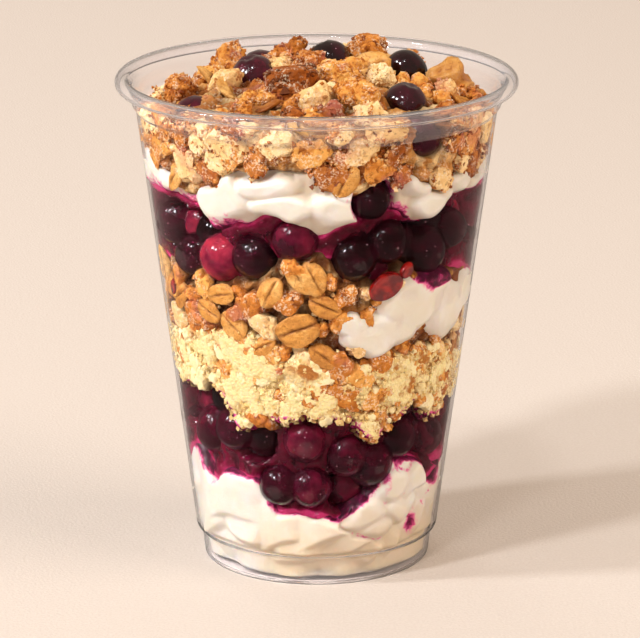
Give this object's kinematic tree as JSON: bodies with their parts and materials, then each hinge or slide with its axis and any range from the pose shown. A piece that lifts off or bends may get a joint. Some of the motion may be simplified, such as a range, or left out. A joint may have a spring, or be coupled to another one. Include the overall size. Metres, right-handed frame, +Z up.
{
  "type": "dessert shooter",
  "caption": "Layered dessert in a clear tapered plastic cup: cream, dark berry compote, cake crumbs and granola in layers, under a heap of crumble with loose berries",
  "frame": {"origin": "centre of the cup's foot, on the surface it stands on", "axes": "+Z up along the cup's axis, +X to the right and -Y to the front, the side with the spoonful of cream in the granola"},
  "size_m": [0.098, 0.098, 0.1273],
  "materials": {
    "clear_plastic": "clear, polished",
    "cream": "soft satin whipped cream",
    "compote": "wet, glossy dark purple",
    "blueberry_skin": "wet, glossy near-black purple",
    "cake": "porous yellow crumb",
    "granola": "toasted oat, satin",
    "crumble": "baked crumb, rough with sugar glints"
  },
  "bodies": {
    "root": {"cup": "clear_plastic", "cream_low": "cream", "cream_spoonful": "cream", "cream_high": "cream", "compote_low": "compote", "compote_high": "compote", "cake_crumbs": "cake", "granola": "granola", "crumble_topping": "crumble", "berry_back_left": "blueberry_skin", "berry_back_right": "blueberry_skin", "berry_front_right": "blueberry_skin", "berry_behind": "blueberry_skin", "berry_front_left": "blueberry_skin", "berry_far_side": "blueberry_skin", "berry_under_rim": "blueberry_skin", "berry_in_cream": "blueberry_skin"}
  },
  "joints": []
}
